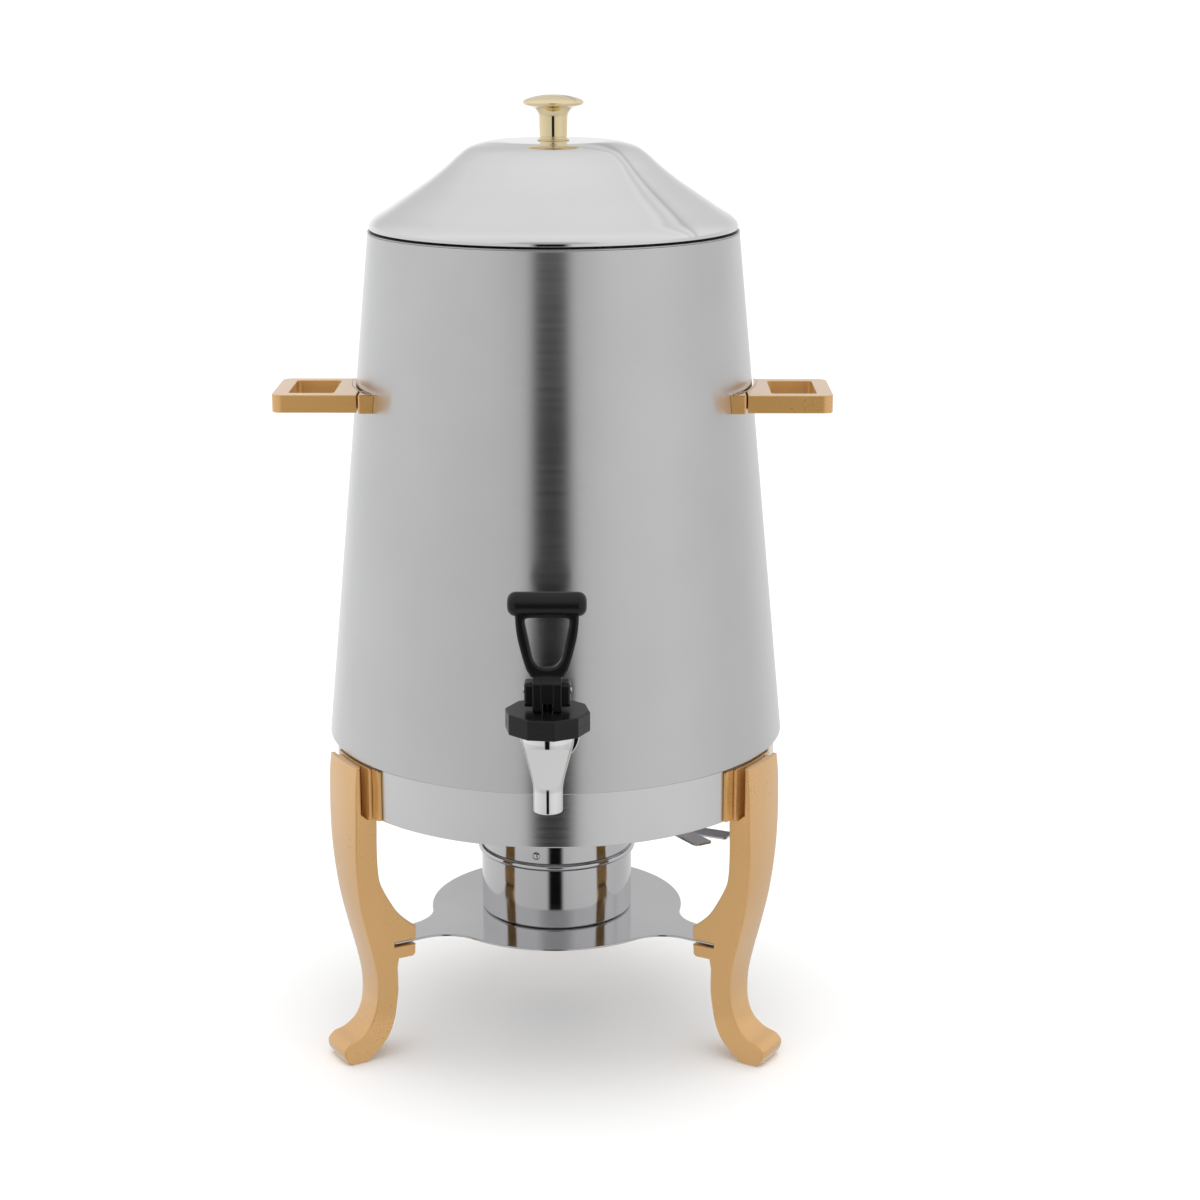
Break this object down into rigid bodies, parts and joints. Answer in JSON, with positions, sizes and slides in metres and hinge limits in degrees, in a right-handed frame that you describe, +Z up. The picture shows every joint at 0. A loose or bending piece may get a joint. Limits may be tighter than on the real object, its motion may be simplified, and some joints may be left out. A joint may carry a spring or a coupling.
{
  "type": "coffee urn",
  "caption": "Conical coffee urn with a lift-off lid, two side handles and a lever tap, on a three-legged stand with a shelf, a fuel burner and a swivelling snuffer.",
  "frame": {"origin": "on the floor, where the urn's upright axis meets it", "axes": "+Z up, the tap points along -Y, the handles lie along -X and +X"},
  "size_m": [0.3174, 0.3446, 0.56],
  "materials": {
    "body_steel": "satin",
    "lid_steel": "polished",
    "inner_steel": "satin",
    "shelf_steel": "semi-gloss",
    "burner_steel": "polished",
    "tap_chrome": "polished",
    "gold_metal": "semi-gloss",
    "knob_metal": "polished",
    "fasteners": "polished",
    "black_plastic": "semi-gloss",
    "gasket_rubber": "matt"
  },
  "bodies": {
    "stand": {"stand_ring": "body_steel", "leg_left": "gold_metal", "leg_right": "gold_metal", "leg_rear": "gold_metal", "bracket_left": "gold_metal", "bracket_right": "gold_metal", "bracket_rear": "gold_metal", "pad_left": "gold_metal", "pad_right": "gold_metal", "pad_rear": "gold_metal", "leg_screws": "fasteners", "shelf_plate": "shelf_steel", "shelf_bolts": "fasteners"},
    "urn": {"outer_shell": "body_steel", "inner_tank": "inner_steel", "base_plate": "inner_steel", "handle_left": "gold_metal", "handle_right": "gold_metal", "saddle_left": "gold_metal", "saddle_right": "gold_metal", "handle_screws_left": "fasteners", "handle_screws_right": "fasteners", "tap_body": "tap_chrome", "tap_bonnet": "black_plastic", "tap_gasket_outer": "gasket_rubber", "tap_gasket_inner": "gasket_rubber", "tap_nut": "fasteners", "tap_spring": "fasteners"},
    "lid": {"lid_shell": "lid_steel", "lid_ring": "inner_steel", "lid_knob": "knob_metal", "knob_washer": "knob_metal", "knob_screw": "fasteners"},
    "valve": {"valve_stem": "black_plastic", "seat_cup": "gasket_rubber", "lever_pin": "fasteners"},
    "lever": {"tap_lever": "black_plastic", "lever_grip": "black_plastic"},
    "burner": {"burner_can": "burner_steel", "burner_collar": "burner_steel", "burner_screws": "fasteners", "burner_handle": "burner_steel", "fuel_cup": "inner_steel", "snuffer_rivet": "fasteners"},
    "snuffer": {"snuffer_lid": "burner_steel"}
  },
  "joints": [
    {"name": "urn_lift", "type": "slide", "parent": "stand", "child": "urn", "axis": [0, 0, 1], "range_m": [0, 0.1]},
    {"name": "lid_lift", "type": "slide", "parent": "urn", "child": "lid", "axis": [0, 0, 1], "range_m": [0, 0.12]},
    {"name": "valve_lift", "type": "slide", "parent": "urn", "child": "valve", "axis": [0, 0, 1], "range_m": [0, 0.004], "deforming": ["tap_spring"]},
    {"name": "lever_tilt", "type": "hinge", "parent": "valve", "child": "lever", "pos_m": [0, -0.17195, 0.2585], "axis": [1, 0, 0], "range_deg": [0, 35], "stiffness_Nm_per_rad": 0.025, "springref_deg": -34.38},
    {"name": "burner_slide", "type": "slide", "parent": "stand", "child": "burner", "axis": [0.866, 0.5, 0], "range_m": [0, 0.25]},
    {"name": "snuffer_swing", "type": "hinge", "parent": "burner", "child": "snuffer", "pos_m": [0.06552, -0.02986, 0.133], "axis": [0, 0, 1], "range_deg": [-45, 33]}
  ],
  "couplings": [
    {"joint": "valve_lift", "follows": "lever_tilt", "m_per_rad": 0.0065}
  ]
}
